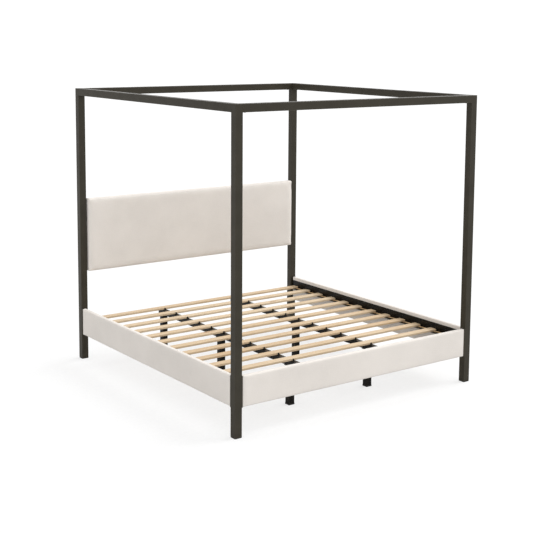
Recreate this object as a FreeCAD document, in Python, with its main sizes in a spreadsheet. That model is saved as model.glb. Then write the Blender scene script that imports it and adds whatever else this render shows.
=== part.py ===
"""Four poster canopy bed in square steel tube with upholstered rails and headboard.

Millimetres. The origin is on the floor under the middle of the bed, +Z is up, +Y points to the
head end and +X to the right-hand side of somebody standing at the foot and looking to the head.
"""
import FreeCAD, Part
import os
import re
import Sketcher
from FreeCAD import Placement, Rotation, Vector

# Driving dimensions, by group.
DIMENSIONS = {
    # whole bed
    "bed_width": 2020,
    "bed_length": 2130,
    "bed_height": 2050,
    # square tube of the posts and the canopy
    "tube_side": 52,
    "tube_wall": 2,
    "tube_rounding": 3,
    "glide_base": 5,
    "cap_plate": 2.5,
    "plug_depth": 14,
    "plug_play": 0.3,
    "glide_inset": 0.5,
    # spigot on a post that carries the end of a canopy tube
    "spigot_length": 60,
    "spigot_wall": 2.5,
    # upholstered side and foot rails
    "rail_thickness": 33,
    "rail_height": 204,
    "rail_bottom": 188,
    "rail_rounding": 10,
    "board_thickness": 18,
    "board_margin": 12,
    # hook plates at the rail ends
    "plate_thickness": 5,
    "plate_margin": 2,
    "hook_spacing": 110,
    "hook_thickness": 4,
    "hook_neck": 14,
    "hook_drop": 10,
    "hook_play": 0.4,
    "slot_play": 0.5,
    "slot_drop": 3,
    "plate_screw_spacing": 50,
    # slat ledges, steel angle
    "ledge_gauge": 3,
    "ledge_width": 60,
    "ledge_height": 60,
    "ledge_screw_rise": 37,
    # slats
    "slat_width": 60,
    "slat_thickness": 14,
    "slat_top": 322,
    "slat_pitch": 168,
    "first_slat": 950,
    "slat_end_gap": 4,
    "slat_rounding": 2,
    "tape_width": 20,
    "tape_thickness": 1,
    "tape_inset": 5,
    # slat holders on the centre rails
    "holder_width": 12,
    "holder_base": 2,
    "holder_lip": 2,
    "holder_lip_height": 15,
    "holder_play": 0.3,
    # centre rails and their legs
    "centre_side": 38,
    "centre_wall": 1.5,
    "centre_offset": 340,
    "centre_rounding": 2,
    "centre_head_end": 985,
    "centre_foot_gap": 2,
    "leg_side": 44,
    "leg_plate": 3,
    "leg_plate_length": 76,
    "leg_bolt_spacing": 56,
    "foot_side": 47,
    "foot_height": 10,
    "bracket_gauge": 3,
    "bracket_shelf": 50,
    "bracket_width": 66,
    "bracket_height": 76,
    # headboard
    "headboard_bottom": 670,
    "headboard_height": 560,
    "headboard_depth": 56,
    "headboard_proud": 25,
    "headboard_gap": 4,
    "headboard_rounding": 14,
    "headboard_board": 15,
    "headboard_margin": 8,
    "dust_cover": 1,
    "hanger_leg": 59,
    "hanger_flange": 19,
    "hanger_height": 60,
    "hanger_inset": 110,
    "hanger_bolt": 11,
    "hanger_screw_reach": 38,
    "hanger_screw_spacing": 36,
    "bracket_screw_spacing": 52,
    # fasteners
    "bolt_radius": 3,
    "bolt_length": 14,
    "bolt_head_radius": 5.2,
    "bolt_head_height": 3.3,
    "bolt_socket_radius": 2.3,
    "bolt_socket_depth": 2,
    "screw_radius": 2,
    "screw_length": 18,
    "screw_head_radius": 4,
    "screw_rim_radius": 2.8,
    "screw_head_height": 2.4,
    "plate_screw_length": 40,
    "drill_play": 0.15,
    "drill_overrun": 0.5,
}

SLAT_COUNT = 12
LEDGE_SCREWS_PER_SIDE = 8
LEDGE_SCREW_SPREAD = 1820
LEG_PLACES = {"head": 940, "middle": 115, "foot": -725}
SIDES = {"left": -1, "right": 1}
ROUGH_HALF = 20  # first guess for a sketched half width; its dimensions then set it
ROUGH_BORE = 10

ALONG_X = Rotation(Vector(0, 1, 0), 90)
ALONG_Y = Rotation(Vector(1, 0, 0), -90)
FACING_FOOT = Rotation(Vector(1, 0, 0), 90)
UPRIGHT = Rotation()

doc = FreeCAD.newDocument("CanopyBed")
sheet = doc.addObject("Spreadsheet::Sheet", "Sizes")
for row, (alias, number) in enumerate(DIMENSIONS.items(), start=1):
    sheet.set(f"A{row}", alias)
    sheet.set(f"B{row}", str(number))
    sheet.setAlias(f"B{row}", alias)
doc.recompute()

nodes = []


# ---------------------------------------------------------------- helpers

def formula(text):
    """Point the dimension names in a formula at the sheet."""
    return re.sub(r"[a-z_]+", lambda word: "Sizes." + word.group(), str(text))


def bind(thing, prop, text):
    thing.setExpression(prop, formula(text))


def node(thing, label):
    """Name a finished sub-part: its label is also its file's name."""
    thing.Label = label
    nodes.append(thing)
    return thing


def place(thing, x=0, y=0, z=0, turn=UPRIGHT):
    thing.Placement = Placement(Vector(0, 0, 0), turn)
    for axis, text in (("x", x), ("y", y), ("z", z)):
        bind(thing, ".Placement.Base." + axis, text)
    return thing


def new_sketch(body):
    sketch = body.newObject("Sketcher::SketchObject", body.Name + "_profile")
    plane = next(f for f in body.Origin.OriginFeatures if f.Role == "XY_Plane")
    sketch.AttachmentSupport = (plane, [""])
    sketch.MapMode = "FlatFace"
    return sketch


def add_loop(sketch, corners):
    """Closed outline of horizontal and vertical lines; returns the first line's index."""
    first = sketch.GeometryCount
    count = len(corners)
    for i in range(count):
        start = Vector(*corners[i], 0)
        end = Vector(*corners[(i + 1) % count], 0)
        line = sketch.addGeometry(Part.LineSegment(start, end), False)
        level = abs(start.y - end.y) < 1e-6
        sketch.addConstraint(Sketcher.Constraint("Horizontal" if level else "Vertical", line))
    for i in range(count):
        line = first + i
        following = first + (i + 1) % count
        sketch.addConstraint(Sketcher.Constraint("Coincident", line, 2, following, 1))
    return first


def dimension(sketch, kind, line, text):
    """Drive one line's signed run by a formula."""
    start, end = sketch.Geometry[line].StartPoint, sketch.Geometry[line].EndPoint
    run = end.x - start.x if kind == "DistanceX" else end.y - start.y
    points = (line, 1, line, 2) if run > 0 else (line, 2, line, 1)
    index = sketch.addConstraint(Sketcher.Constraint(kind, *points, abs(run)))
    bind(sketch, f"Constraints[{index}]", text)


def add_rectangle(sketch, width, height, guess):
    """Rectangle centred on the sketch's origin."""
    first = add_loop(sketch, [(-guess, -guess), (guess, -guess), (guess, guess), (-guess, guess)])
    sketch.addConstraint(Sketcher.Constraint("Symmetric", first, 1, first + 2, 1, -1, 1))
    dimension(sketch, "DistanceX", first, width)
    dimension(sketch, "DistanceY", first + 1, height)


def bar(name, width, height, length, hollow=None, rounding=None, corners_only=True):
    """Rectangular bar along its own Z, centred on it, with an optional bore and round edges."""
    body = doc.addObject("PartDesign::Body", name)
    sketch = new_sketch(body)
    add_rectangle(sketch, width, height, ROUGH_HALF)
    if hollow:
        add_rectangle(sketch, *hollow, ROUGH_BORE)
    pad = body.newObject("PartDesign::Pad", name + "_pad")
    pad.Profile = sketch
    bind(pad, "Length", length)
    sketch.Visibility = False
    if rounding:
        doc.recompute()
        round_edges(body, pad, rounding, corners_only)
    return body


def round_edges(body, pad, rounding, corners_only):
    """Round the four outer edges along Z, and with corners_only off the far end's edges too."""
    box = pad.Shape.BoundBox
    names = []
    for i, edge in enumerate(pad.Shape.Edges, start=1):
        ends = [vertex.Point for vertex in edge.Vertexes]
        upright = abs(ends[0].z - ends[1].z) > 1e-6
        outer = all(abs(p.x) > box.XMax - 1e-6 and abs(p.y) > box.YMax - 1e-6 for p in ends)
        far = all(p.z > box.ZMax - 1e-6 for p in ends)
        if outer and (upright or (far and not corners_only)):
            names.append(f"Edge{i}")
    fillet = body.newObject("PartDesign::Fillet", body.Name + "_fillet")
    fillet.Base = (pad, names)
    bind(fillet, "Radius", rounding)
    pad.Visibility = False


def box(name, width, depth, height, x=0, y=0, z=0):
    """Plain block whose low corner is at x, y, z."""
    block = doc.addObject("Part::Box", name)
    bind(block, "Length", width)
    bind(block, "Width", depth)
    bind(block, "Height", height)
    return place(block, x, y, z)


def rod(name, radius, length, z=0):
    cylinder = doc.addObject("Part::Cylinder", name)
    bind(cylinder, "Radius", radius)
    bind(cylinder, "Height", length)
    return place(cylinder, z=z)


def fuse(name, parts):
    joined = doc.addObject("Part::MultiFuse", name)
    joined.Shapes = parts
    return joined


def cut(name, base, tool):
    result = doc.addObject("Part::Cut", name)
    result.Base = base
    result.Tool = tool
    return result


def group(name, master, spots):
    """Copies of one master piece at several placements, as separate solids of one object."""
    doc.recompute()
    copies = []
    for spot in spots:
        copy = master.Shape.copy()
        copy.Placement = spot * master.Placement
        copies.append(copy)
    together = doc.addObject("Part::Feature", name)
    together.Shape = Part.makeCompound(copies)
    return together


def at(x, y, z, turn=UPRIGHT):
    return Placement(Vector(x, y, z), turn)


def pointing(x, y, z):
    """Rotation that takes a fastener's own +Z, the way its tip points, to this direction."""
    return Rotation(Vector(0, 0, 1), Vector(x, y, z))


# ---------------------------------------------------------------- levels and places

tube_half = sheet.tube_side / 2
post_x = sheet.bed_width / 2 - tube_half
post_y = sheet.bed_length / 2 - tube_half
inner_x = sheet.bed_width / 2 - sheet.tube_side
inner_y = sheet.bed_length / 2 - sheet.tube_side
rail_middle = sheet.rail_bottom + sheet.rail_height / 2
rail_inner_x = sheet.bed_width / 2 - sheet.rail_thickness
rail_inner_y = sheet.bed_length / 2 - sheet.rail_thickness
slat_bottom = sheet.slat_top - sheet.slat_thickness
centre_top = slat_bottom - sheet.holder_base
centre_bottom = centre_top - sheet.centre_side
canopy_bottom = sheet.bed_height - sheet.tube_side
hanger_back_y = inner_y - sheet.headboard_proud + sheet.headboard_depth + sheet.dust_cover
hanger_levels = (
    sheet.headboard_bottom + sheet.hanger_inset,
    sheet.headboard_bottom + sheet.headboard_height - sheet.hanger_inset,
)
slat_rows = [sheet.first_slat - i * sheet.slat_pitch for i in range(SLAT_COUNT)]

SLAT_BOTTOM = "(slat_top - slat_thickness)"
CENTRE_TOP = "(slat_top - slat_thickness - holder_base)"
LEDGE_TOP = "(slat_top - slat_thickness - tape_thickness)"
HEADBOARD_BACK = "(bed_length / 2 - tube_side - headboard_proud + headboard_depth)"


# ---------------------------------------------------------------- fastener patterns

def canopy_bolt_spots():
    """One bolt up through the underside of each end of each canopy tube."""
    along = sheet.spigot_length / 2
    spots = []
    for sx in (-1, 1):
        for sy in (-1, 1):
            spots.append(at(sx * post_x, sy * (inner_y - along), canopy_bottom))
            spots.append(at(sx * (inner_x - along), sy * post_y, canopy_bottom))
    return spots


def hanger_bolt_spots():
    """One bolt from each headboard hanger sideways into its post."""
    x = inner_x - sheet.bracket_gauge
    y = hanger_back_y + sheet.hanger_bolt
    return [at(s * x, y, z, pointing(s, 0, 0)) for s in SIDES.values() for z in hanger_levels]


def centre_bolt_spots():
    """Two bolts up through each leg plate, and one through each foot-end bracket."""
    level = centre_bottom - sheet.leg_plate
    spots = []
    for side in SIDES.values():
        x = side * sheet.centre_offset
        for y in LEG_PLACES.values():
            for end in (-1, 1):
                spots.append(at(x, y + end * sheet.leg_bolt_spacing / 2, level))
        spots.append(at(x, -rail_inner_y + sheet.bracket_shelf / 2 + sheet.bracket_gauge, level))
    return spots


def wood_screw_spots():
    """Screws that hold the ledges, the headboard hangers and the foot-end brackets."""
    spots = []
    ledge_x = rail_inner_x - sheet.ledge_gauge
    ledge_z = slat_bottom - sheet.tape_thickness + sheet.ledge_screw_rise
    step = LEDGE_SCREW_SPREAD / (LEDGE_SCREWS_PER_SIDE - 1)
    for side in SIDES.values():
        for i in range(LEDGE_SCREWS_PER_SIDE):
            y = -LEDGE_SCREW_SPREAD / 2 + i * step
            spots.append(at(side * ledge_x, y, ledge_z, pointing(side, 0, 0)))
        hanger_x = side * (inner_x - sheet.hanger_screw_reach)
        for level in hanger_levels:
            for end in (-1, 1):
                y = hanger_back_y + sheet.bracket_gauge
                z = level + end * sheet.hanger_screw_spacing / 2
                spots.append(at(hanger_x, y, z, pointing(0, -1, 0)))
        for end in (-1, 1):
            x = side * sheet.centre_offset + end * sheet.bracket_screw_spacing / 2
            y = -rail_inner_y + sheet.bracket_gauge
            spots.append(at(x, y, rail_middle, pointing(0, -1, 0)))
    return spots


def plate_places():
    """Each hook plate's name and placement; its own +Y points at the post."""
    end_y = inner_y - sheet.plate_thickness
    end_x = inner_x - sheet.plate_thickness
    rail_x = sheet.bed_width / 2 - sheet.rail_thickness / 2
    rail_y = sheet.bed_length / 2 - sheet.rail_thickness / 2
    places = {}
    for side, sign in SIDES.items():
        to_head = Rotation(Vector(0, 0, 1), 0)
        to_foot = Rotation(Vector(0, 0, 1), 180)
        outwards = Rotation(Vector(0, 0, 1), -90 * sign)
        places[f"hook_plate_{side}_head"] = at(sign * rail_x, end_y, rail_middle, to_head)
        places[f"hook_plate_{side}_foot"] = at(sign * rail_x, -end_y, rail_middle, to_foot)
        places[f"hook_plate_foot_{side}"] = at(sign * end_x, -rail_y, rail_middle, outwards)
    return places


def plate_screw_spots():
    """Two countersunk screws per hook plate, driven into the end of the rail board."""
    spots = []
    for plate in plate_places().values():
        for end in (-1, 1):
            z = end * sheet.plate_screw_spacing / 2
            spots.append(plate * at(0, sheet.plate_thickness, z, pointing(0, -1, 0)))
    return spots


def hook_slot_spots():
    """Slots in the posts, one for each hook; a slot's own +Y also points at the post."""
    spots = []
    for plate in plate_places().values():
        for end in (-1, 1):
            spots.append(plate * at(0, sheet.plate_thickness, end * sheet.hook_spacing / 2))
    return spots


# ---------------------------------------------------------------- fasteners and drills

def button_bolt(name):
    """Round-headed bolt with a hexagon socket, its tip towards +Z."""
    shank = rod(name + "_shank", "bolt_radius", "bolt_length")
    head = rod(name + "_head", "bolt_head_radius", "bolt_head_height", z="-bolt_head_height")
    socket = doc.addObject("Part::Prism", name + "_socket")
    socket.Polygon = 6
    bind(socket, "Circumradius", "bolt_socket_radius")
    bind(socket, "Height", "bolt_socket_depth")
    place(socket, z="-bolt_head_height")
    return cut(name, fuse(name + "_blank", [head, shank]), socket)


def pan_screw(name):
    """Wood screw with a low round head that has eased edges."""
    shank = rod(name + "_shank", "screw_radius", "screw_length")
    head = doc.addObject("Part::Cone", name + "_head")
    bind(head, "Radius1", "screw_rim_radius")
    bind(head, "Radius2", "screw_head_radius")
    bind(head, "Height", "screw_head_height")
    place(head, z="-screw_head_height")
    return fuse(name, [head, shank])


def sunk_screw(name, play):
    """Countersunk screw, or with some play the hole for it."""
    shank = rod(name + "_shank", f"screw_radius + {play}", f"plate_screw_length + {play}")
    head = doc.addObject("Part::Cone", name + "_head")
    bind(head, "Radius1", f"screw_head_radius + {play}")
    bind(head, "Radius2", f"screw_radius + {play}")
    bind(head, "Height", "screw_head_height")
    place(head)
    return fuse(name, [head, shank])


bolt = button_bolt("bolt_master")
screw = pan_screw("wood_screw_master")
plate_screw = sunk_screw("plate_screw_master", 0)
bolt_drill = rod("bolt_drill", "bolt_radius + drill_play", "bolt_length + 2 * drill_overrun",
                 z="-drill_overrun")
screw_drill = rod("screw_drill", "screw_radius + drill_play", "screw_length + drill_play")
plate_screw_drill = sunk_screw("plate_screw_drill", "drill_play")
hook_slot = box(
    "hook_slot",
    "hook_thickness + 2 * slot_play",
    "tube_wall + 2 * slot_play",
    "hook_neck + hook_drop + slot_drop",
    x="-(hook_thickness + 2 * slot_play) / 2",
    y="-slot_play",
    z="-hook_neck / 2",
)

bolt_spots = canopy_bolt_spots() + hanger_bolt_spots() + centre_bolt_spots()
node(group("canopy_bolts", bolt, canopy_bolt_spots()), "canopy_bolts")
node(group("headboard_bolts", bolt, hanger_bolt_spots()), "headboard_bolts")
node(group("centre_rail_bolts", bolt, centre_bolt_spots()), "centre_rail_bolts")
node(group("wood_screws", screw, wood_screw_spots()), "wood_screws")
node(group("hook_plate_screws", plate_screw, plate_screw_spots()), "hook_plate_screws")

steel_cutters = doc.addObject("Part::Compound", "steel_cutters")
steel_cutters.Links = [
    group("bolt_holes", bolt_drill, bolt_spots),
    group("hook_slots", hook_slot, hook_slot_spots()),
]
screw_cutters = doc.addObject("Part::Compound", "screw_cutters")
screw_cutters.Links = [
    group("wood_screw_holes", screw_drill, wood_screw_spots()),
    group("plate_screw_holes", plate_screw_drill, plate_screw_spots()),
]


# ---------------------------------------------------------------- posts and canopy

def plug(name, side, wall, plate_side, plate_height, rounding):
    """Plastic end plug: a plate at Z 0 and below, and a stem that fills the tube above it."""
    plate = place(bar(name + "_plate", plate_side, plate_side, plate_height, rounding=rounding),
                  z=f"-{plate_height}")
    stem_side = f"{side} - 2 * {wall} - 2 * plug_play"
    stem = bar(name + "_stem", stem_side, stem_side, "plug_depth")
    return fuse(name, [plate, stem])


def post_corners():
    return [(sx, sy) for sy in (-1, 1) for sx in (-1, 1)]


def make_posts():
    """Four tubes with a glide under each and a flush cap on top."""
    bore = "tube_side - 2 * tube_wall"
    length = "bed_height - glide_base - cap_plate"
    for sx, sy in post_corners():
        label = f"post_{'head' if sy > 0 else 'foot'}_{'right' if sx > 0 else 'left'}"
        tube = bar(label + "_tube", "tube_side", "tube_side", length, (bore, bore), "tube_rounding")
        place(tube, f"{sx} * (bed_width - tube_side) / 2", f"{sy} * (bed_length - tube_side) / 2",
              "glide_base")
        node(cut(label, tube, steel_cutters), label)

    glide = plug("post_glide", "tube_side", "tube_wall", "tube_side - 2 * glide_inset",
                 "glide_base", "tube_rounding")
    cap = plug("post_cap", "tube_side", "tube_wall", "tube_side", "cap_plate", "tube_rounding")
    upside_down = Rotation(Vector(1, 0, 0), 180)
    cap_level = sheet.bed_height - sheet.cap_plate
    low = [at(sx * post_x, sy * post_y, sheet.glide_base) for sx, sy in post_corners()]
    high = [at(sx * post_x, sy * post_y, cap_level, upside_down) for sx, sy in post_corners()]
    node(group("post_glides", glide, low), "post_glides")
    node(group("post_caps", cap, high), "post_caps")


def make_canopy():
    """Four tubes between the post tops, each end pushed over a spigot and bolted."""
    bore = "tube_side - 2 * tube_wall"
    level = "bed_height - tube_side / 2"
    section = ("tube_side", "tube_side")
    for side, sign in SIDES.items():
        tube = bar(f"canopy_{side}_tube", *section, "bed_length - 2 * tube_side", (bore, bore),
                   "tube_rounding")
        place(tube, f"{sign} * (bed_width - tube_side) / 2", "tube_side - bed_length / 2", level,
              ALONG_Y)
        node(cut(f"canopy_{side}", tube, steel_cutters), f"canopy_{side}")
    for end, sign in (("foot", -1), ("head", 1)):
        tube = bar(f"canopy_{end}_tube", *section, "bed_width - 2 * tube_side", (bore, bore),
                   "tube_rounding")
        place(tube, "tube_side - bed_width / 2", f"{sign} * (bed_length - tube_side) / 2", level,
              ALONG_X)
        node(cut(f"canopy_{end}", tube, steel_cutters), f"canopy_{end}")


def make_spigots():
    """Short square sleeves welded to the posts, two on each."""
    outer = "tube_side - 2 * tube_wall - 2 * plug_play"
    inner = f"{outer} - 2 * spigot_wall"
    sleeve = bar("spigot_sleeve", outer, outer, "spigot_length", (inner, inner))
    level = sheet.bed_height - tube_half
    along = sheet.spigot_length
    spots = []
    for sx, sy in post_corners():
        towards_y = pointing(0, -sy, 0)
        towards_x = pointing(-sx, 0, 0)
        spots.append(at(sx * post_x, sy * inner_y, level, towards_y))
        spots.append(at(sx * inner_x, sy * post_y, level, towards_x))
    node(cut("canopy_spigots", group("spigot_blanks", sleeve, spots), steel_cutters),
         "canopy_spigots")


# ---------------------------------------------------------------- rails

def make_hook_plate(label, spot):
    """End plate with two hooks that drop into the post's slots."""
    hooks = []
    for i, end in enumerate((-1, 1)):
        middle = f"{end} * hook_spacing / 2"
        hooks.append(box(
            f"{label}_neck_{i}", "hook_thickness", "tube_wall + hook_play + hook_thickness",
            "hook_neck", "-hook_thickness / 2", "plate_thickness", f"{middle} - hook_neck / 2"))
        hooks.append(box(
            f"{label}_tongue_{i}", "hook_thickness", "hook_thickness", "hook_neck + hook_drop",
            "-hook_thickness / 2", "plate_thickness + tube_wall + hook_play",
            f"{middle} - hook_neck / 2 - hook_drop"))
    plate = box(
        f"{label}_plate", "rail_thickness - plate_margin", "plate_thickness",
        "rail_height - 2 * plate_margin", "(plate_margin - rail_thickness) / 2", 0,
        "plate_margin - rail_height / 2")
    blank = fuse(f"{label}_blank", [plate] + hooks)
    blank.Placement = spot
    node(cut(label, blank, screw_cutters), label)


def make_side_rails():
    """Board inside a padded fabric sleeve, one on each side of the bed."""
    length = "bed_length - 2 * tube_side - 2 * plate_thickness"
    start = "tube_side + plate_thickness - bed_length / 2"
    level = "rail_bottom + rail_height / 2"
    board_size = ("board_thickness", "rail_height - 2 * board_margin")
    for side, sign in SIDES.items():
        middle = f"{sign} * (bed_width - rail_thickness) / 2"
        board = bar(f"side_board_{side}_blank", *board_size, length)
        place(board, middle, start, level, ALONG_Y)
        node(cut(f"side_board_{side}", board, screw_cutters), f"side_board_{side}")
        cover = bar(f"side_cover_{side}_blank", "rail_thickness", "rail_height", length,
                    board_size, "rail_rounding")
        place(cover, middle, start, level, ALONG_Y)
        node(cut(f"side_cover_{side}", cover, screw_cutters), f"side_cover_{side}")


def make_foot_rail():
    """The same board and sleeve across the foot end."""
    length = "bed_width - 2 * tube_side - 2 * plate_thickness"
    spot = ("tube_side + plate_thickness - bed_width / 2", "(rail_thickness - bed_length) / 2",
            "rail_bottom + rail_height / 2", ALONG_X)
    board_size = ("rail_height - 2 * board_margin", "board_thickness")
    board = place(bar("foot_board_blank", *board_size, length), *spot)
    node(cut("foot_board", board, screw_cutters), "foot_board")
    cover = bar("foot_cover_blank", "rail_height", "rail_thickness", length, board_size,
                "rail_rounding")
    node(cut("foot_cover", place(cover, *spot), screw_cutters), "foot_cover")


def make_ledges():
    """Steel angles on the inner faces of the side rails, which carry the slat ends."""
    for side, sign in SIDES.items():
        body = doc.addObject("PartDesign::Body", f"ledge_{side}_blank")
        sketch = new_sketch(body)
        outline = [(0, 0), (60, 0), (60, -3), (3, -3), (3, -60), (0, -60)]
        first = add_loop(sketch, outline)
        sketch.addConstraint(Sketcher.Constraint("Coincident", first, 1, -1, 1))
        dimension(sketch, "DistanceX", first, "ledge_width")
        dimension(sketch, "DistanceY", first + 1, "ledge_gauge")
        dimension(sketch, "DistanceX", first + 2, "ledge_width - ledge_gauge")
        dimension(sketch, "DistanceY", first + 3, "ledge_height - ledge_gauge")
        pad = body.newObject("PartDesign::Pad", f"ledge_{side}_pad")
        pad.Profile = sketch
        bind(pad, "Length", "bed_length - 2 * tube_side - 2 * plate_thickness")
        half_turn = Rotation(Vector(0, 0, 1), 0 if sign < 0 else 180)
        start = f"{sign} * (bed_length / 2 - tube_side - plate_thickness)"
        place(body, f"{sign} * (bed_width / 2 - rail_thickness)", start,
              f"{LEDGE_TOP} - ledge_gauge", half_turn * ALONG_Y)
        node(cut(f"ledge_{side}", body, screw_cutters), f"ledge_{side}")


# ---------------------------------------------------------------- slats and centre rails

def make_slats():
    """Pine slats across the bed, two tapes that tie their ends, and holders at the middle."""
    length = "bed_width - 2 * rail_thickness - 2 * ledge_gauge - 2 * slat_end_gap"
    for i in range(SLAT_COUNT):
        label = f"slat_{i + 1:02d}"
        slat = bar(label, "slat_thickness", "slat_width", length, rounding="slat_rounding")
        place(slat, f"-({length}) / 2", f"first_slat - {i} * slat_pitch",
              "slat_top - slat_thickness / 2", ALONG_X)
        node(slat, label)

    run = f"{SLAT_COUNT - 1} * slat_pitch + slat_width"
    for side, sign in SIDES.items():
        tape = bar(f"slat_tape_{side}", "tape_width", "tape_thickness", run)
        place(tape, f"{sign} * (({length}) / 2 - tape_inset - tape_width / 2)",
              f"first_slat + slat_width / 2 - ({run})", f"{SLAT_BOTTOM} - tape_thickness / 2",
              ALONG_Y)
        node(tape, f"slat_tape_{side}")

    reach = "(slat_width + 2 * holder_play + 2 * holder_lip)"
    low_corner = ("-holder_width / 2", f"-{reach} / 2", 0)
    base = box("holder_base_plate", "holder_width", reach, "holder_base", *low_corner)
    lips = [
        box(f"holder_lip_{i}", "holder_width", "holder_lip", "holder_lip_height",
            "-holder_width / 2", y)
        for i, y in enumerate((f"-{reach} / 2", f"{reach} / 2 - holder_lip"))
    ]
    holder = fuse("slat_holder", [base] + lips)
    spots = [at(sign * sheet.centre_offset, y, centre_top)
             for sign in SIDES.values() for y in slat_rows]
    node(group("slat_holders", holder, spots), "slat_holders")


def make_centre_rails():
    """Two steel tubes under the slats, on a bracket at the foot and capped at the head."""
    bore = "centre_side - 2 * centre_wall"
    start = "(rail_thickness - bed_length / 2 + bracket_gauge + centre_foot_gap)"
    for side, sign in SIDES.items():
        rail = bar(f"centre_rail_{side}_tube", "centre_side", "centre_side",
                   f"centre_head_end - {start}", (bore, bore), "centre_rounding")
        place(rail, f"{sign} * centre_offset", start, f"{CENTRE_TOP} - centre_side / 2", ALONG_Y)
        node(cut(f"centre_rail_{side}", rail, steel_cutters), f"centre_rail_{side}")

    end_cap = plug("centre_cap", "centre_side", "centre_wall", "centre_side", "cap_plate",
                   "centre_wall")
    spots = [at(sign * sheet.centre_offset, sheet.centre_head_end,
                centre_top - sheet.centre_side / 2, pointing(0, -1, 0))
             for sign in SIDES.values()]
    node(group("centre_rail_caps", end_cap, spots), "centre_rail_caps")


def make_centre_brackets():
    """Angle brackets screwed to the foot rail; each carries the end of a centre rail."""
    wall = box("bracket_wall", "bracket_width", "bracket_gauge", "bracket_height",
               "-bracket_width / 2", 0, "-bracket_gauge")
    shelf = box("bracket_shelf_plate", "centre_side", "bracket_shelf", "bracket_gauge",
                "-centre_side / 2", 0, "-bracket_gauge")
    bracket = fuse("centre_bracket", [wall, shelf])
    spots = [at(sign * sheet.centre_offset, -rail_inner_y, centre_bottom)
             for sign in SIDES.values()]
    blanks = group("centre_bracket_blanks", bracket, spots)
    bolted = cut("centre_brackets_bolted", blanks, steel_cutters)
    node(cut("centre_rail_brackets", bolted, screw_cutters), "centre_rail_brackets")


def make_legs():
    """Six square legs with a welded top plate and a plastic foot."""
    bore = "leg_side - 2 * centre_wall"
    height = f"{CENTRE_TOP} - centre_side - leg_plate - foot_height"
    for side, sign in SIDES.items():
        for place_name, y in LEG_PLACES.items():
            label = f"leg_{side}_{place_name}"
            tube = bar(label + "_tube", "leg_side", "leg_side", height, (bore, bore),
                       "centre_rounding")
            place(tube, f"{sign} * centre_offset", y, "foot_height")
            plate = box(label + "_plate", "leg_side", "leg_plate_length", "leg_plate",
                        f"{sign} * centre_offset - leg_side / 2", f"{y} - leg_plate_length / 2",
                        f"{CENTRE_TOP} - centre_side - leg_plate")
            node(cut(label, fuse(label + "_blank", [tube, plate]), steel_cutters), label)

    foot = plug("leg_foot", "leg_side", "centre_wall", "foot_side", "foot_height",
                "tube_rounding")
    spots = [at(sign * sheet.centre_offset, y, sheet.foot_height)
             for sign in SIDES.values() for y in LEG_PLACES.values()]
    node(group("leg_feet", foot, spots), "leg_feet")


# ---------------------------------------------------------------- headboard

def make_headboard():
    """Board with a padded fabric front, a cloth back cover and four steel hangers."""
    width = "(bed_width - 2 * tube_side - 2 * headboard_gap)"
    board_width = f"({width} - 2 * headboard_margin)"
    board_height = "(headboard_height - 2 * headboard_margin)"
    spot = (0, HEADBOARD_BACK, "headboard_bottom + headboard_height / 2", FACING_FOOT)

    board = bar("headboard_board_blank", board_width, board_height, "headboard_board")
    place(board, *spot)
    node(cut("headboard_board", board, screw_cutters), "headboard_board")

    cushion = bar("headboard_cushion", width, "headboard_height", "headboard_depth",
                  rounding="headboard_rounding", corners_only=False)
    recess = cushion.newObject("PartDesign::SubtractiveBox", "headboard_recess")
    bind(recess, "Length", board_width)
    bind(recess, "Width", board_height)
    bind(recess, "Height", "headboard_board")
    place(recess, f"-{board_width} / 2", f"-{board_height} / 2", 0)
    cushion.Tip = recess
    node(place(cushion, *spot), "headboard_cushion")

    margin = "2 * headboard_margin"
    dust = bar("dust_cover_blank", f"{board_width} - {margin}", f"{board_height} - {margin}",
               "dust_cover")
    place(dust, 0, f"{HEADBOARD_BACK} + dust_cover", spot[2], FACING_FOOT)
    node(cut("headboard_dust_cover", dust, screw_cutters), "headboard_dust_cover")

    leg = box("hanger_leg_plate", "hanger_leg", "bracket_gauge", "hanger_height", 0, 0,
              "-hanger_height / 2")
    flange = box("hanger_flange_plate", "bracket_gauge", "hanger_flange", "hanger_height", 0, 0,
                 "-hanger_height / 2")
    hanger = fuse("hanger", [leg, flange])
    mirrored = Rotation(Vector(0, 1, 0), 180)
    spots = [at(sign * inner_x, hanger_back_y, level, UPRIGHT if sign < 0 else mirrored)
             for sign in SIDES.values() for level in hanger_levels]
    blanks = group("hanger_blanks", hanger, spots)
    bolted = cut("hangers_bolted", blanks, steel_cutters)
    node(cut("headboard_hangers", bolted, screw_cutters), "headboard_hangers")


# ---------------------------------------------------------------- build, test and write

def check_and_write():
    doc.recompute()
    for thing in doc.Objects:
        if "Invalid" in thing.State or "Error" in thing.State:
            raise RuntimeError(f"{thing.Label} failed: {thing.State}")
    for piece in nodes:
        shape = piece.Shape
        if shape.isNull() or not shape.isValid() or not shape.Solids:
            raise RuntimeError(f"{piece.Label} has no valid solid")
    os.makedirs("parts", exist_ok=True)
    for piece in nodes:
        piece.Shape.exportStep(f"parts/{piece.Label}.step")
    print(len(nodes), "nodes,", sum(len(piece.Shape.Solids) for piece in nodes), "solids")


make_posts()
make_canopy()
make_spigots()
for plate_label, plate_spot in plate_places().items():
    make_hook_plate(plate_label, plate_spot)
make_side_rails()
make_foot_rail()
make_ledges()
make_slats()
make_centre_rails()
make_centre_brackets()
make_legs()
make_headboard()
check_and_write()
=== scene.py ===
import math

import bpy
import numpy as np
from mathutils import Matrix, Vector, noise


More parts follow.
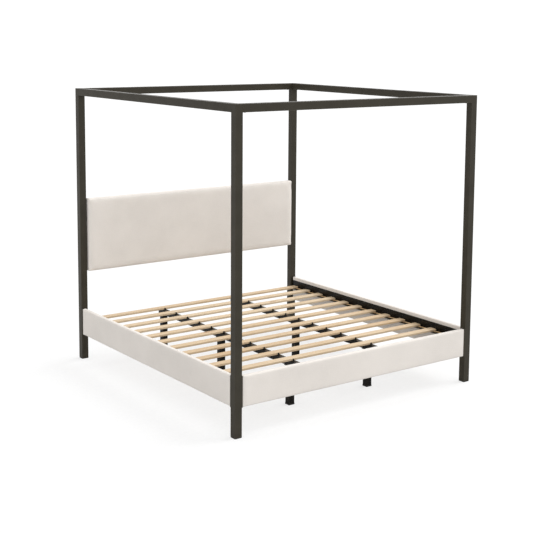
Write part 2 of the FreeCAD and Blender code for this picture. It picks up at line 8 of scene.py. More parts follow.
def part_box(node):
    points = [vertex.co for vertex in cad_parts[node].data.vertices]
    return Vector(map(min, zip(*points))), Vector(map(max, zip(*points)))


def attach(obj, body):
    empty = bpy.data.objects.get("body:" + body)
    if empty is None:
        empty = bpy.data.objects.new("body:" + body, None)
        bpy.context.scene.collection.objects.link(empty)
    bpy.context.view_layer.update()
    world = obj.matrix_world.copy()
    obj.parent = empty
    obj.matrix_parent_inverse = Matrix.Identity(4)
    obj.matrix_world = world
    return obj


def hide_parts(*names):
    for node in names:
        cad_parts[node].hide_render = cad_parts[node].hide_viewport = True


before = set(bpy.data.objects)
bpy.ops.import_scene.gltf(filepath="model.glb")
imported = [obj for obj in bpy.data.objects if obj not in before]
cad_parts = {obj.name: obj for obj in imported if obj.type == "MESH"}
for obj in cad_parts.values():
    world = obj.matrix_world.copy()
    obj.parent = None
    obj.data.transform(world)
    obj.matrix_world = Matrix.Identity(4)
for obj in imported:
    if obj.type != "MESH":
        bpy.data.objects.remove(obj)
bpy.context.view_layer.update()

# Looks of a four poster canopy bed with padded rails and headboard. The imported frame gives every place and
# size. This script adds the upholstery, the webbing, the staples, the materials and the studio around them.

MM = 0.001
X, Y, Z = range(3)
BODY = "root"

# Upholstery
RAIL_ROUNDING = 8 * MM  # edges of the padded rails
RAIL_SWELL = 2.5 * MM  # how far the foam pushes the fabric of a rail out
RAIL_SPACING = 14 * MM  # between the points of its mesh
PAD_ROUNDING = 12 * MM  # edges of the headboard
PAD_SWELL = 6 * MM
PAD_SPACING = 22 * MM
SIDE_SWELL = 1.5 * MM  # of a rail's top and bottom, and of the headboard's top, bottom and ends
END_SWELL = 1 * MM  # of a rail's ends, which are held between the posts
NEAR = 1 * MM  # a point this near to a rail's end is held there
BACK_FABRIC = 0.6 * MM  # the fabric that is turned over the back of the headboard
CUT_SHARES = (0.0, 0.25, 0.5, 0.8, 1.2)  # places of the cuts over a rounded end, as shares of its rounding
PRESSURE = 4.0
SETTLING_FRAMES = 20
WAVE_HEIGHT = 0.6 * MM  # slow unevenness of foam under cloth
WAVES_PER_METRE = 7.0

# Dust cloth behind the headboard
BACK_COLUMNS, BACK_ROWS = 150, 44
BACK_THICKNESS = 0.2 * MM
BACK_LIFT = 0.25 * MM  # of the cloth off the fabric under it
PUCKER_HEIGHT = 0.35 * MM  # between two staples
PUCKER_REACH = 18 * MM  # from the cloth's rim
SLACK_HEIGHT = 0.12 * MM
SLACKS_PER_METRE = 6

# Staples
STAPLE_CROWN = 11 * MM
STAPLE_WIDTH = 1.3 * MM
STAPLE_RISE = 0.6 * MM
STAPLE_THICKNESS = 0.8 * STAPLE_RISE
STAPLE_BEND = ((1.0, -1.0), (0.96, 0.7), (0.8, 1.0))  # shares of half the crown, and of the rise
STAPLE_PITCH = 55 * MM
STAPLE_INSET = 9 * MM  # from the dust cloth's rim
STAPLE_STANDOFF = 0.5 * MM  # off the dust cloth's CAD face, for the slack in the cloth
STAPLE_END = 40 * MM  # from a row's last staple to the end of the piece
TOP_ROW_END = 30 * MM  # the same, for the rows along the dust cloth's top and bottom
RAIL_ROW_HEIGHT = 22 * MM  # above a rail's underside

# Webbing between the slats
WEBBING_BOW = 1.6 * MM
WEBBING_STEP = 6 * MM
SELVEDGE = 1.5 * MM
RIM_THIN = 0.18 * MM  # how far each face is set in at the tape's rims
MIDDLE_THIN = 0.12 * MM  # and between its two selvedges

# Fine structure of the materials, each from one crest to the next hollow
THREAD = 1.1 * MM
DIMPLE = 1.1 * MM
TAPE_RIB = 0.9 * MM
TAPE_THREAD = 0.7 * MM
VENEER = 2.2 * MM

# Slats
GRAIN_SHIFT = 37.0  # metres that a slat's grain is moved by at most, so that no two look the same

# Camera: the photograph's standpoint, off the foot's left corner and above head height
CAMERA_PLACE = (-4.6667, -6.5061, 2.4605)
CAMERA_YAW, CAMERA_PITCH, CAMERA_ROLL = 36.537, 7.286, 0.476  # degrees
CAMERA_LENS, CAMERA_SENSOR = 75.26, 36.0  # millimetres
CAMERA_SHIFT = (-0.0375, -0.1689)

# Light
AMBIENT = 1.10
DIM_TOWARDS = (-0.62, 0.78, 0.0)
DIM_SHARE = 0.55  # of the dome's light that is left there
DIM_START = 0.55  # cosine of the angle around DIM_TOWARDS inside which the dome dims
KEY_STRENGTH = 1.8
KEY_TOWARDS = (0.74, -0.08, 0.62)
KEY_SPREAD = 42  # degrees
FLOOR_SIDE = 60.0
FLOOR_SHADOW = 0.31  # share of the light that a shadow can take away
FLOOR_LIFT = 0.65
FLOOR_BOUNCE = 0.6


# ---------------------------------------------------------------- node graphs

def display(red, green, blue):
    """A colour as a screen shows it, 0 to 255, in the linear values that shaders take."""
    shares = [c / 255 for c in (red, green, blue)]
    return (*(s / 12.92 if s < 0.04 else ((s + 0.055) / 1.055) ** 2.4 for s in shares), 1.0)


def grey(share):
    """A neutral colour in linear values."""
    return (share, share, share, 1.0)


class Graph:
    """A material's nodes, with a short call for each kind that is used here."""

    def __init__(self, name, **constants):
        self.material = bpy.data.materials.new(name)
        self.material.use_nodes = True
        self.tree = self.material.node_tree
        self.shader = self.tree.nodes["Principled BSDF"]
        for socket, value in constants.items():
            self.shader.inputs[socket.replace("_", " ")].default_value = value
        self.place = self.node("ShaderNodeTexCoord").outputs["Object"]

    def node(self, kind, values=(), **settings):
        made = self.tree.nodes.new(kind)
        for name, value in settings.items():
            setattr(made, name, value)
        for socket, value in dict(values).items():
            if isinstance(value, bpy.types.NodeSocket):
                self.tree.links.new(value, made.inputs[socket])
            else:
                made.inputs[socket].default_value = value
        return made

    def math(self, operation, first, second=0.0):
        return self.node("ShaderNodeMath", {0: first, 1: second}, operation=operation).outputs[0]

    def split(self, vector):
        return self.node("ShaderNodeSeparateXYZ", {0: vector}).outputs

    def stretched(self, vector, scales):
        values = {0: vector, 1: scales}
        return self.node("ShaderNodeVectorMath", values, operation="MULTIPLY").outputs[0]

    def noise(self, vector, scale, detail=2.0, roughness=0.5, distortion=0.0):
        values = {"Vector": vector, "Scale": scale, "Detail": detail, "Roughness": roughness,
                  "Distortion": distortion}
        return self.node("ShaderNodeTexNoise", values).outputs["Fac"]

    def cells(self, vector, scale):
        return self.node("ShaderNodeTexVoronoi", {"Vector": vector, "Scale": scale}).outputs["Distance"]

    def fit(self, value, low, high, to_low=0.0, to_high=1.0):
        values = {"Value": value, "From Min": low, "From Max": high, "To Min": to_low, "To Max": to_high}
        return self.node("ShaderNodeMapRange", values).outputs["Result"]

    def spread(self, value, low=0.0, high=1.0):
        """A noise, whose values mostly lie between 0.3 and 0.7, stretched to run from low to high."""
        return self.fit(value, 0.3, 0.7, low, high)

    def blend(self, factor, first, second, way="MIX"):
        values = {"Fac": factor, "Color1": first, "Color2": second}
        return self.node("ShaderNodeMixRGB", values, blend_type=way).outputs["Color"]

    def ridges(self, value, pitch):
        """A wave from -1 to 1 along value, one crest every two pitches."""
        return self.math("SINE", self.math("MULTIPLY", value, math.pi / pitch))

    def edges(self, radius):
        """1 along sharp edges, fading to 0 a radius away."""
        rounded = self.node("ShaderNodeBevel", {"Radius": radius}, samples=4).outputs[0]
        true = self.node("ShaderNodeNewGeometry").outputs["Normal"]
        match = self.node("ShaderNodeVectorMath", {0: rounded, 1: true}, operation="DOT_PRODUCT")
        return self.fit(match.outputs["Value"], 0.995, 0.9)

    def bump(self, height, distance):
        values = {"Height": height, "Distance": distance, "Strength": 1.0}
        return self.node("ShaderNodeBump", values).outputs["Normal"]

    def finish(self, **sockets):
        for name, value in sockets.items():
            self.tree.links.new(value, self.shader.inputs[name.replace("_", " ")])
        return self.material


# ---------------------------------------------------------------- materials
# Scales of noise are per metre, colours are as a screen shows them, and the last number of a bump is its
# height.

def powder_coat(name, colour, rubbed_and_highlight, roughness, specular):
    """Baked powder coat: fine orange peel, faint mottling, and a lighter tone along its edges, partly rubbed
    wear and partly a painted highlight on their roundings.
    """
    g = Graph(name, Specular_IOR_Level=specular)
    mottle = g.spread(g.noise(g.place, 11, 4))
    peel = g.noise(g.place, 900, 2)
    darker = tuple(c * 0.82 for c in colour[:3]) + (1.0,)
    tone = g.blend(mottle, darker, colour)
    # Lighter edges: partly rubbed wear, partly painted highlight where the rounded edges catch the light.
    edge_wear_and_highlight = g.math("MULTIPLY", g.edges(3 * MM), g.fit(g.noise(g.place, 40, 3), 0.35, 0.7, 0.35, 0.9))
    patchy = g.spread(g.noise(g.place, 25, 3), roughness - 0.05, roughness + 0.06)
    return g.finish(Base_Color=g.blend(edge_wear_and_highlight, tone, rubbed_and_highlight), Roughness=patchy,
                    Normal=g.bump(peel, 0.12 * MM))


def black_oxide(name):
    """Oxide-blackened steel with a thin film of oil."""
    g = Graph(name, Metallic=0.6, Specular_IOR_Level=0.4)
    cloud = g.spread(g.noise(g.place, 260, 4))
    tone = g.blend(cloud, display(30, 29, 28), display(54, 52, 50))
    worn = g.blend(g.edges(0.6 * MM), tone, display(104, 101, 97))
    return g.finish(Base_Color=worn, Roughness=g.fit(cloud, 0, 1, 0.32, 0.48),
                    Normal=g.bump(g.noise(g.place, 1500, 2), 0.04 * MM))


def zinc_plate(name):
    """Bright zinc with a faint yellow passivation and drawn scratches."""
    g = Graph(name, Metallic=1.0)
    cloud = g.spread(g.noise(g.place, 180, 3))
    tone = g.blend(cloud, display(186, 184, 176), display(214, 210, 196))
    scratches = g.noise(g.stretched(g.place, (300, 2600, 2600)), 1, 2)
    return g.finish(Base_Color=tone, Roughness=g.spread(scratches, 0.26, 0.42),
                    Normal=g.bump(scratches, 0.02 * MM))


def moulded_plastic(name):
    """Black polypropylene with a spark-eroded grain, paler where it has been handled."""
    g = Graph(name, Specular_IOR_Level=0.35)
    grain = g.noise(g.place, 1400, 2)
    cloud = g.spread(g.noise(g.place, 45, 3))
    tone = g.blend(cloud, display(25, 24, 23), display(34, 33, 31))
    scuffed = g.blend(g.math("MULTIPLY", g.edges(1.2 * MM), 0.6), tone, display(74, 72, 69))
    return g.finish(Base_Color=scuffed, Roughness=g.fit(cloud, 0, 1, 0.5, 0.62),
                    Normal=g.bump(grain, 0.1 * MM))


def planed_pine(name, spacing, offset):
    """Planed pine slats: long grain, fine fibres, a few small knots, and a tone of its own for each slat. The
    slats lie one spacing apart, with a gap at the offset."""
    g = Graph(name, Specular_IOR_Level=0.3)
    along, across, depth = g.split(g.place)
    slat = g.math("FLOOR", g.math("DIVIDE", g.math("SUBTRACT", across, offset), spacing))
    own = g.node("ShaderNodeTexWhiteNoise", {"W": slat}, noise_dimensions="1D").outputs["Value"]
    shifted = g.math("ADD", along, g.math("MULTIPLY", own, GRAIN_SHIFT))
    wood = g.node("ShaderNodeCombineXYZ", {0: shifted, 1: across, 2: depth}).outputs[0]
    knot = g.cells(g.stretched(wood, (1.7, 9.0, 9.0)), 1.0)
    ring_eye = g.fit(knot, 0.0, 0.22, 1.0, 0.0)
    grain = g.noise(g.stretched(wood, (1.3, 46, 46)), 1, 3, 0.55, 0.6)
    bands = g.ridges(g.math("ADD", grain, g.math("MULTIPLY", ring_eye, 0.25)), 0.055)
    fibres = g.noise(g.stretched(wood, (9, 900, 900)), 1, 3, 0.6)
    pale = g.blend(own, display(209, 188, 158), display(195, 167, 131))
    late = g.blend(g.fit(bands, 0.1, 1.0, 0.0, 0.34), pale, display(178, 140, 98))
    fleck = g.blend(g.fit(fibres, 0.52, 0.8, 0.0, 0.3), late, display(165, 129, 91))
    blotch = g.blend(g.fit(g.noise(wood, 4, 3), 0.35, 0.7, 0.0, 0.25), fleck, display(217, 201, 176))
    knotted = g.blend(g.fit(knot, 0.045, 0.10, 0.75, 0.0), blotch, display(134, 84, 46))
    height = g.math("ADD", fibres, g.math("MULTIPLY", bands, 0.15))
    return g.finish(Base_Color=knotted, Roughness=g.spread(fibres, 0.5, 0.66),
                    Normal=g.bump(height, 0.12 * MM))


def plywood(name, thickness_axis):
    """Poplar plywood: veneers through its thickness, open grain on its faces."""
    g = Graph(name, Specular_IOR_Level=0.25)
    through = g.split(g.place)[thickness_axis]
    veneer = g.fit(g.ridges(through, VENEER), -0.2, 0.2)
    grain = g.noise(g.stretched(g.place, (3, 3, 120)), 1, 4, 0.6, 0.4)
    face = g.blend(g.fit(grain, 0.35, 0.7), display(205, 170, 122), display(176, 134, 86))
    return g.finish(Base_Color=g.blend(g.math("MULTIPLY", veneer, 0.35), face, display(140, 98, 60)),
                    Roughness=g.spread(grain, 0.62, 0.78), Normal=g.bump(grain, 0.2 * MM))


def upholstery(name):
    """Tight linen-look weave of thick and thin yarns, with painted shade in the hollows between its threads,
    on cloth coordinates that follow the warp and weft.
    """
    light, dark = display(226, 220, 213), display(218, 212, 205)
    slub, pit_shade = display(230, 224, 219), display(176, 168, 161)
    g = Graph(name, Sheen_Weight=0.12, Sheen_Roughness=0.5, Specular_IOR_Level=0.15)
    cloth = g.node("ShaderNodeAttribute", attribute_name="cloth").outputs["Vector"]
    warp, weft, _ = g.split(cloth)
    crossing = g.math("MULTIPLY", g.ridges(warp, THREAD), g.ridges(weft, THREAD))
    weft_yarn = g.noise(g.stretched(cloth, (16, 620, 1)), 1, 2)
    warp_yarn = g.noise(g.stretched(cloth, (620, 16, 1)), 1, 2)
    yarns = g.math("ADD", weft_yarn, warp_yarn)
    shading = g.noise(g.place, 3.5, 3, 0.5)
    ground = g.blend(g.fit(shading, 0.35, 0.65), dark, light)
    slubbed = g.blend(g.fit(yarns, 0.8, 1.25, 0.0, 0.45), ground, slub)
    # Painted shade: the hollows between crossing threads are darkened.
    shaded_pits = g.blend(g.fit(crossing, -1, 0, 0.16, 0.0), slubbed, pit_shade)
    height = g.math("ADD", g.math("MULTIPLY", crossing, 0.35), g.math("MULTIPLY", yarns, 0.8))
    return g.finish(Base_Color=shaded_pits, Roughness=g.fit(yarns, 0.7, 1.3, 0.92, 0.78),
                    Normal=g.bump(height, 0.16 * MM))


def bonded_cloth(name):
    """Thin charcoal dust cloth: bonded fibres with a grid of small heat-set dimples."""
    g = Graph(name, Sheen_Weight=0.15, Specular_IOR_Level=0.2)
    fibres = g.noise(g.place, 1100, 3, 0.7)
    along, _, up = g.split(g.place)
    dimples = g.math("MULTIPLY", g.ridges(along, DIMPLE), g.ridges(up, DIMPLE))
    tone = g.blend(g.spread(fibres), display(30, 30, 31), display(52, 51, 51))
    cloudy = g.blend(g.fit(g.noise(g.place, 14, 3), 0.35, 0.7, 0, 0.4), tone, display(60, 59, 58))
    height = g.math("SUBTRACT", fibres, g.math("MAXIMUM", dimples, 0.0))
    return g.finish(Base_Color=cloudy, Roughness=g.spread(fibres, 0.8, 0.95),
                    Normal=g.bump(height, 0.12 * MM))


def woven_tape(name):
    """Flat polypropylene tape: ribs across it and a tight selvedge, with painted shade in the hollows between
    the ribs and a painted highlight on their crests.
    """
    g = Graph(name, Sheen_Weight=0.1, Specular_IOR_Level=0.3)
    across, along, _ = g.split(g.place)
    ribs = g.ridges(along, TAPE_RIB)
    threads = g.ridges(across, TAPE_THREAD)
    weave = g.math("ADD", ribs, g.math("MULTIPLY", g.math("MULTIPLY", ribs, threads), 0.6))
    # Painted shade and highlight: the colour follows the weave's relief, darker in its hollows and lighter on
    # its crests.
    tone = g.blend(g.fit(weave, -1.2, 1.2), display(168, 128, 82), display(220, 184, 134))
    faded = g.blend(g.fit(g.noise(g.place, 30, 3), 0.35, 0.7, 0, 0.35), tone, display(228, 200, 158))
    return g.finish(Base_Color=faded, Roughness=g.fit(weave, -1, 1, 0.8, 0.6), Normal=g.bump(weave, 0.1 * MM))


def studio_floor(name):
    """Plain white floor. It shows brighter than it lights, as a floor lit for a white ground does: the camera
    sees a lifted tone, and every other ray meets a plain pale surface."""
    g = Graph(name)
    g.tree.nodes.remove(g.shader)
    grain = g.spread(g.noise(g.place, 40, 2), 0.98, 1.0)
    tint = g.node("ShaderNodeCombineColor", {0: grain, 1: grain, 2: grain}).outputs[0]
    dim = g.blend(1.0, tint, grey(FLOOR_SHADOW), "MULTIPLY")
    seen = g.node("ShaderNodeBsdfDiffuse", {"Color": dim}).outputs[0]
    lift = g.node("ShaderNodeEmission", {"Color": tint, "Strength": FLOOR_LIFT}).outputs[0]
    shown = g.node("ShaderNodeAddShader", {0: seen, 1: lift}).outputs[0]
    bounce = g.node("ShaderNodeBsdfDiffuse", {"Color": grey(FLOOR_BOUNCE)}).outputs[0]
    direct = g.node("ShaderNodeLightPath").outputs["Is Camera Ray"]
    mixed = g.node("ShaderNodeMixShader", {0: direct, 1: bounce, 2: shown}).outputs[0]
    g.tree.links.new(mixed, g.tree.nodes["Material Output"].inputs["Surface"])
    return g.material


# ---------------------------------------------------------------- meshes

def new_piece(name, points, faces, material, stands_for=()):
    """A smooth mesh that rides with the bed and may stand for CAD nodes."""
    mesh = bpy.data.meshes.new(name)
    mesh.from_pydata([tuple(p) for p in points], [], faces)
    mesh.materials.append(material)
    mesh.shade_smooth()
    piece = bpy.data.objects.new(name, mesh)
    bpy.context.scene.collection.objects.link(piece)
    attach(piece, BODY)
    if stands_for:
        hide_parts(*stands_for)
    return piece


def cuts(low, high, rounding, spacing):
    """Coordinates from low to high: close together over the rounded ends, evenly spaced between them."""
    ends = [rounding * share for share in CUT_SHARES]
    first, last = low + ends[-1], high - ends[-1]
    count = max(2, round((last - first) / spacing))
    middle = [first + (last - first) * i / count for i in range(count + 1)]
    return [low + e for e in ends[:-1]] + middle + [high - e for e in reversed(ends[:-1])]


def block(low, high, rounding, spacing, length_axis):
    """Points, faces and cloth coordinates of a closed block with rounded edges. The cloth coordinates run
    along the block's length and up its faces, and turn over its edges as a wrapped cloth does."""
    lines = [cuts(low[axis], high[axis], rounding, spacing) for axis in range(3)]
    thickness_axis = X if length_axis == Y else Y
    index, points, faces, cloth = {}, [], [], []

    def point_at(key):
        if key not in index:
            index[key] = len(points)
            points.append([lines[axis][key[axis]] for axis in range(3)])
        return index[key]

    for axis in range(3):
        first, second = (axis + 1) % 3, (axis + 2) % 3
        for end in (0, len(lines[axis]) - 1):
            for i in range(len(lines[first]) - 1):
                for j in range(len(lines[second]) - 1):
                    ring = [(i, j), (i + 1, j), (i + 1, j + 1), (i, j + 1)]
                    keys = []
                    for a, b in ring if end else reversed(ring):
                        key = [end] * 3
                        key[first], key[second] = a, b
                        keys.append(tuple(key))
                    face = [point_at(key) for key in keys]
                    faces.append(face)
                    for corner in face:
                        place = points[corner]
                        wrap = place[thickness_axis]
                        cloth.append((place[length_axis] + (wrap if axis == length_axis else 0.0),
                                      place[Z] + (wrap if axis == Z else 0.0), 0.0))
    points = np.array(points)
    core = np.clip(points, np.array(low) + rounding, np.array(high) - rounding)
    out = points - core
    return core + rounding * out / np.linalg.norm(out, axis=1)[:, None], faces, cloth


def swell(piece, held, limits):
    """Cloth simulation of the cover, pushed out by its foam. The held points stay, and no point moves
    further than the limits along each axis."""
    scene = bpy.context.scene
    rest = np.array([v.co for v in piece.data.vertices])
    piece.vertex_groups.new(name="held").add([int(i) for i in np.flatnonzero(held)], 1.0, "REPLACE")
    cloth = piece.modifiers.new("cover", "CLOTH")
    cloth.settings.vertex_group_mass = "held"
    cloth.settings.use_pressure = True
    cloth.settings.uniform_pressure_force = PRESSURE
    cloth.settings.effector_weights.gravity = 0.0
    cloth.collision_settings.use_collision = False
    cloth.point_cache.frame_start, cloth.point_cache.frame_end = 1, SETTLING_FRAMES
    for step in range(1, SETTLING_FRAMES + 1):
        scene.frame_set(step)
    settled = piece.evaluated_get(bpy.context.evaluated_depsgraph_get()).data
    moved = np.array([v.co for v in settled.vertices]) - rest
    piece.modifiers.remove(cloth)
    piece.vertex_groups.clear()
    scene.frame_set(1)
    limits = np.array(limits)
    write_points(piece, rest + limits * np.tanh(moved / limits))


def write_points(piece, points):
    """Moves the points of a piece's mesh."""
    piece.data.vertices.foreach_set("co", np.asarray(points, np.float32).ravel())
    piece.data.update()


def unsettle(piece, free):
    """Adds the slow unevenness of foam under cloth to the free points."""
    normals = np.array([v.normal for v in piece.data.vertices])
    points = np.array([v.co for v in piece.data.vertices])
    waves = np.array([noise.noise(Vector(p) * WAVES_PER_METRE) for p in points])
    write_points(piece, points + normals * (waves * free * WAVE_HEIGHT)[:, None])


def cushion(name, low, high, rounding, spacing, length_axis, held, limits, stands_for):
    """One padded piece: a rounded block, swollen by its foam, smoothed once."""
    points, faces, cloth = block(low, high, rounding, spacing, length_axis)
    piece = new_piece(name, points, faces, finishes["upholstery"], stands_for)
    corners = piece.data.attributes.new("cloth", "FLOAT_VECTOR", "CORNER")
    corners.data.foreach_set("vector", np.array(cloth, np.float32).ravel())
    fixed = held(points)
    swell(piece, fixed, limits)
    unsettle(piece, ~fixed)
    smooth = piece.modifiers.new("smooth", "SUBSURF")
    smooth.levels = smooth.render_levels = 1


# ---------------------------------------------------------------- upholstery

def make_side_rail(side):
    """Padded side rail. Its fabric is tight over the inner face and the ends, and swells elsewhere."""
    node = f"side_cover_{side}"
    low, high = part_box(node)
    outward = -1 if side == "left" else 1
    if outward < 0:
        low.x += RAIL_SWELL
        inner = high.x
    else:
        high.x -= RAIL_SWELL
        inner = low.x
    low.z, high.z = low.z + SIDE_SWELL, high.z - SIDE_SWELL
    ends = (low.y, high.y)

    def held(points):
        flat = np.abs(points[:, X] - inner) < RAIL_ROUNDING / 2
        return flat | (points[:, Y] < ends[0] + NEAR) | (points[:, Y] > ends[1] - NEAR)

    cushion(f"side_upholstery_{side}", low, high, RAIL_ROUNDING, RAIL_SPACING, Y, held,
            (RAIL_SWELL, END_SWELL, SIDE_SWELL), (node,))


def make_foot_rail():
    """Padded foot rail, made as the side rails are."""
    low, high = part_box("foot_cover")
    low.y += RAIL_SWELL
    low.z, high.z = low.z + SIDE_SWELL, high.z - SIDE_SWELL
    inner, ends = high.y, (low.x, high.x)

    def held(points):
        flat = np.abs(points[:, Y] - inner) < RAIL_ROUNDING / 2
        return flat | (points[:, X] < ends[0] + NEAR) | (points[:, X] > ends[1] - NEAR)

    cushion("foot_upholstery", low, high, RAIL_ROUNDING, RAIL_SPACING, X, held,
            (END_SWELL, RAIL_SWELL, SIDE_SWELL), ("foot_cover",))


def make_headboard():
    """Headboard pad, wrapped over the board and fastened at its back."""
    low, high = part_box("headboard_cushion")
    low += Vector((SIDE_SWELL, PAD_SWELL, SIDE_SWELL))
    high += Vector((-SIDE_SWELL, BACK_FABRIC, -SIDE_SWELL))
    back = high.y - PAD_ROUNDING / 2
    cushion("headboard_upholstery", low, high, PAD_ROUNDING, PAD_SPACING, X,
            lambda points: points[:, Y] > back, (SIDE_SWELL, PAD_SWELL, SIDE_SWELL),
            ("headboard_cushion",))


def make_back_cloth():
    """Dust cloth stapled over the headboard's back, slightly slack between the staples."""
    low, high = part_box("headboard_dust_cover")
    width, height = high.x - low.x, high.z - low.z
    points, faces = [], []
    for row in range(BACK_ROWS + 1):
        for column in range(BACK_COLUMNS + 1):
            across, up = width * column / BACK_COLUMNS, height * row / BACK_ROWS
            side_rim, top_rim = min(across, width - across), min(up, height - up)
            along = across if top_rim < side_rim else up
            between_staples = 0.5 - 0.5 * math.cos(2 * math.pi * along / STAPLE_PITCH)
            pucker = math.exp(-min(side_rim, top_rim) / PUCKER_REACH) * between_staples
            slack = noise.noise(Vector((across, 0.0, up)) * SLACKS_PER_METRE)
            out = BACK_FABRIC + BACK_LIFT + PUCKER_HEIGHT * pucker + SLACK_HEIGHT * slack
            points.append((low.x + across, low.y + out, low.z + up))
    ring = BACK_COLUMNS + 1
    for row in range(BACK_ROWS):
        for column in range(BACK_COLUMNS):
            first = row * ring + column
            faces.append((first + 1, first, first + ring, first + ring + 1))
    piece = new_piece("headboard_back_cloth", points, faces, finishes["dust_cloth"],
                      ("headboard_dust_cover",))
    thick = piece.modifiers.new("thickness", "SOLIDIFY")
    thick.thickness = BACK_THICKNESS


# ---------------------------------------------------------------- staples and webbing

def staple(place, along, out):
    """Points and faces of one staple: a flat crown whose ends dip into the cloth."""
    along, out = Vector(along), Vector(out)
    side = along.cross(out) * STAPLE_WIDTH / 2
    half = STAPLE_CROWN / 2
    path = [(-half * reach, STAPLE_RISE * rise) for reach, rise in STAPLE_BEND]
    path += [(-reach, rise) for reach, rise in reversed(path)]
    points, faces = [], []
    for reach, rise in path:
        for level in (rise, rise - STAPLE_THICKNESS):
            for edge in (-1, 1):
                points.append(Vector(place) + along * reach + out * level + side * edge)
    for i in range(len(path) - 1):
        n = 4 * i
        faces += [(n, n + 1, n + 5, n + 4), (n + 3, n + 2, n + 6, n + 7),
                  (n + 1, n + 3, n + 7, n + 5), (n + 2, n, n + 4, n + 6)]
    last = 4 * (len(path) - 1)
    faces += [(0, 2, 3, 1), (last, last + 1, last + 3, last + 2)]
    return points, faces


def make_staples(name, spots):
    """One piece of staples. A spot is a staple's place, the way its crown runs and the way it faces."""
    points, faces = [], []
    for place, along, out in spots:
        new_points, new_faces = staple(place, along, out)
        faces += [tuple(i + len(points) for i in face) for face in new_faces]
        points += new_points
    piece = new_piece(name, points, faces, finishes["zinc_screws"])
    piece.data.shade_flat()


def evenly(low, high, margin):
    """Places about one staple pitch apart, from a margin inside low to a margin inside high."""
    length = high - low - 2 * margin
    count = max(1, round(length / STAPLE_PITCH))
    return [low + margin + length * i / count for i in range(count + 1)]


def make_all_staples():
    """Staples that hold the dust cloth, and the fabric's edge inside each rail."""
    low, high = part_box("headboard_dust_cover")
    back = high.y + STAPLE_STANDOFF
    spots = []
    for x in evenly(low.x, high.x, TOP_ROW_END):
        for z in (low.z + STAPLE_INSET, high.z - STAPLE_INSET):
            spots.append(((x, back, z), (1, 0, 0), (0, 1, 0)))
    for z in evenly(low.z, high.z, STAPLE_END):
        for x in (low.x + STAPLE_INSET, high.x - STAPLE_INSET):
            spots.append(((x, back, z), (0, 0, 1), (0, 1, 0)))
    make_staples("headboard_staples", spots)
    for side, inward in (("left", 1), ("right", -1)):
        low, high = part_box(f"side_cover_{side}")
        face, level = high.x if inward > 0 else low.x, low.z + RAIL_ROW_HEIGHT
        row = evenly(low.y, high.y, STAPLE_END)
        make_staples(f"rail_staples_{side}", [((face, y, level), (0, 1, 0), (inward, 0, 0)) for y in row])
    low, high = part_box("foot_cover")
    row, level = evenly(low.x, high.x, STAPLE_END), low.z + RAIL_ROW_HEIGHT
    make_staples("rail_staples_foot", [((x, high.y, level), (1, 0, 0), (0, 1, 0)) for x in row])


def slat_gaps():
    """Where each gap between two slats starts and ends, along the bed."""
    names = [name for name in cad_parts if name.removeprefix("slat_").isdigit()]
    slats = sorted((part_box(name)[0].y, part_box(name)[1].y) for name in names)
    return [(before[1], after[0]) for before, after in zip(slats, slats[1:])]


def make_webbing(side):
    """Tape that spaces the slats, pressed flat under each one and bowed a little between them."""
    low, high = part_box(f"slat_tape_{side}")
    middle = (low.x + high.x) / 2
    profile = [(low.x, RIM_THIN), (low.x + SELVEDGE, 0.0), (low.x + 2 * SELVEDGE, MIDDLE_THIN),
               (middle, MIDDLE_THIN),
               (high.x - 2 * SELVEDGE, MIDDLE_THIN), (high.x - SELVEDGE, 0.0), (high.x, RIM_THIN)]
    gaps = slat_gaps()
    steps = round((high.y - low.y) / WEBBING_STEP)
    points, faces = [], []
    for i in range(steps + 1):
        y = low.y + (high.y - low.y) * i / steps
        shares = [(y - start) / (end - start) for start, end in gaps if start < y < end]
        lift = WEBBING_BOW * math.sin(math.pi * sum(shares)) ** 2
        points += [(x, y, high.z - thin + lift) for x, thin in profile]
        points += [(x, y, low.z + thin + lift) for x, thin in profile]
    ring = len(profile)
    row = 2 * ring
    for i in range(steps):
        n = i * row
        for k in range(ring - 1):
            faces.append((n + k, n + k + 1, n + row + k + 1, n + row + k))
            faces.append((n + ring + k + 1, n + ring + k, n + row + ring + k, n + row + ring + k + 1))
        faces.append((n + ring, n, n + row, n + row + ring))
        faces.append((n + ring - 1, n + row - 1, n + 2 * row - 1, n + row + ring - 1))
    faces.append(tuple(range(ring - 1, -1, -1)) + tuple(range(ring, row)))
    last = steps * row
    faces.append(tuple(last + k for k in (*range(ring), *range(row - 1, ring - 1, -1))))
    new_piece(f"slat_webbing_{side}", points, faces, finishes["webbing"], (f"slat_tape_{side}",))


# ---------------------------------------------------------------- studio

def make_floor():
    """The stage under the bed."""
    half = FLOOR_SIDE / 2
    corners = [(-half, -half, 0), (half, -half, 0), (half, half, 0), (-half, half, 0)]
    mesh = bpy.data.meshes.new("floor")
    mesh.from_pydata(corners, [], [(0, 1, 2, 3)])
    mesh.materials.append(studio_floor("studio_floor"))
    floor = bpy.data.objects.new("floor", mesh)
    bpy.context.scene.collection.objects.link(floor)


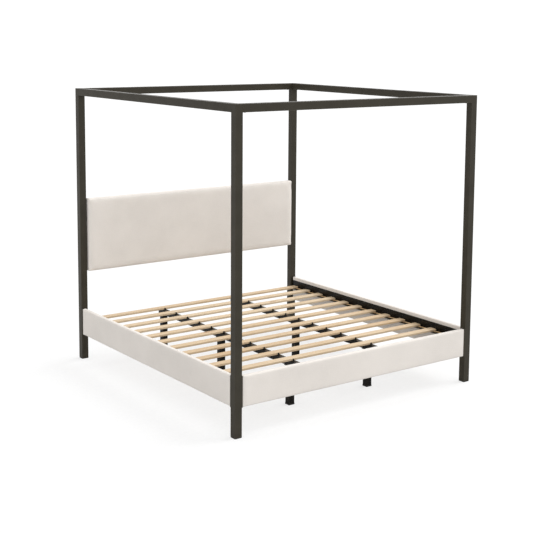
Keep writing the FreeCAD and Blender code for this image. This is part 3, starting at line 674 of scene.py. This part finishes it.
def make_light():
    """A white dome, dimmer beyond the head's left corner, and one very soft key light from the upper right.
    The dimming changes the light on the bed, while the dome itself shows evenly white."""
    world = bpy.data.worlds.new("studio")
    world.use_nodes = True
    nodes, links = world.node_tree.nodes, world.node_tree.links
    nodes["Background"].inputs["Color"].default_value = grey(1.0)
    towards = nodes.new("ShaderNodeVectorMath")
    towards.operation = "DOT_PRODUCT"
    towards.inputs[1].default_value = DIM_TOWARDS
    links.new(nodes.new("ShaderNodeTexCoord").outputs["Generated"], towards.inputs[0])
    dimmed = nodes.new("ShaderNodeMapRange")
    ranges = {"From Min": DIM_START, "From Max": 1.0, "To Min": AMBIENT, "To Max": AMBIENT * DIM_SHARE}
    for socket, value in ranges.items():
        dimmed.inputs[socket].default_value = value
    links.new(towards.outputs["Value"], dimmed.inputs["Value"])
    strength = nodes.new("ShaderNodeMix")
    links.new(nodes.new("ShaderNodeLightPath").outputs["Is Camera Ray"], strength.inputs["Factor"])
    links.new(dimmed.outputs["Result"], strength.inputs["A"])
    strength.inputs["B"].default_value = AMBIENT
    links.new(strength.outputs["Result"], nodes["Background"].inputs["Strength"])
    bpy.context.scene.world = world
    light = bpy.data.lights.new("key", "SUN")
    light.energy, light.angle = KEY_STRENGTH, math.radians(KEY_SPREAD)
    key = bpy.data.objects.new("key", light)
    key.rotation_mode = "QUATERNION"
    key.rotation_quaternion = Vector(KEY_TOWARDS).to_track_quat("Z", "Y")
    bpy.context.scene.collection.objects.link(key)


def make_camera():
    """The photograph's camera. Its yaw turns from straight up the bed towards the right."""
    data = bpy.data.cameras.new("camera")
    data.lens, data.sensor_width = CAMERA_LENS, CAMERA_SENSOR
    data.shift_x, data.shift_y = CAMERA_SHIFT
    camera = bpy.data.objects.new("camera", data)
    yaw, pitch, roll = (math.radians(a) for a in (CAMERA_YAW, CAMERA_PITCH, CAMERA_ROLL))
    turn = Matrix.Rotation(-yaw, 4, "Z") @ Matrix.Rotation(math.pi / 2 - pitch, 4, "X")
    camera.matrix_world = Matrix.Translation(CAMERA_PLACE) @ turn @ Matrix.Rotation(roll, 4, "Z")
    bpy.context.scene.collection.objects.link(camera)
    bpy.context.scene.camera = camera


# ---------------------------------------------------------------- the bed

bpy.context.scene.view_settings.view_transform = "Standard"
slat_box, next_slat_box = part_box("slat_01"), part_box("slat_02")
slat_spacing = slat_box[0].y - next_slat_box[0].y
between_slats = (slat_box[0].y + next_slat_box[1].y) / 2

finishes = {
    # Each powder coat's second colour is its lighter edge tone: rubbed wear and a painted edge highlight.
    "bronze_steel": powder_coat("bronze_steel", display(59, 55, 46), display(96, 90, 79),
                                roughness=0.36, specular=0.17),
    "black_steel": powder_coat("black_steel", display(15, 13, 10), display(60, 54, 46),
                               roughness=0.26, specular=0.2),
    "black_bolts": black_oxide("black_bolts"),
    "zinc_screws": zinc_plate("zinc_screws"),
    "black_plastic": moulded_plastic("black_plastic"),
    "upholstery": upholstery("upholstery"),
    "dust_cloth": bonded_cloth("dust_cloth"),
    "plywood": plywood("plywood", Y),
    "slat_wood": planed_pine("slat_wood", slat_spacing, between_slats),
    "webbing": woven_tape("webbing"),
}
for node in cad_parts.values():
    for place in node.material_slots:
        place.material = finishes[place.material.name.split(".")[0]]

for side in ("left", "right"):
    make_side_rail(side)
    make_webbing(side)
make_foot_rail()
make_headboard()
make_back_cloth()
make_all_staples()
make_floor()
make_light()
make_camera()
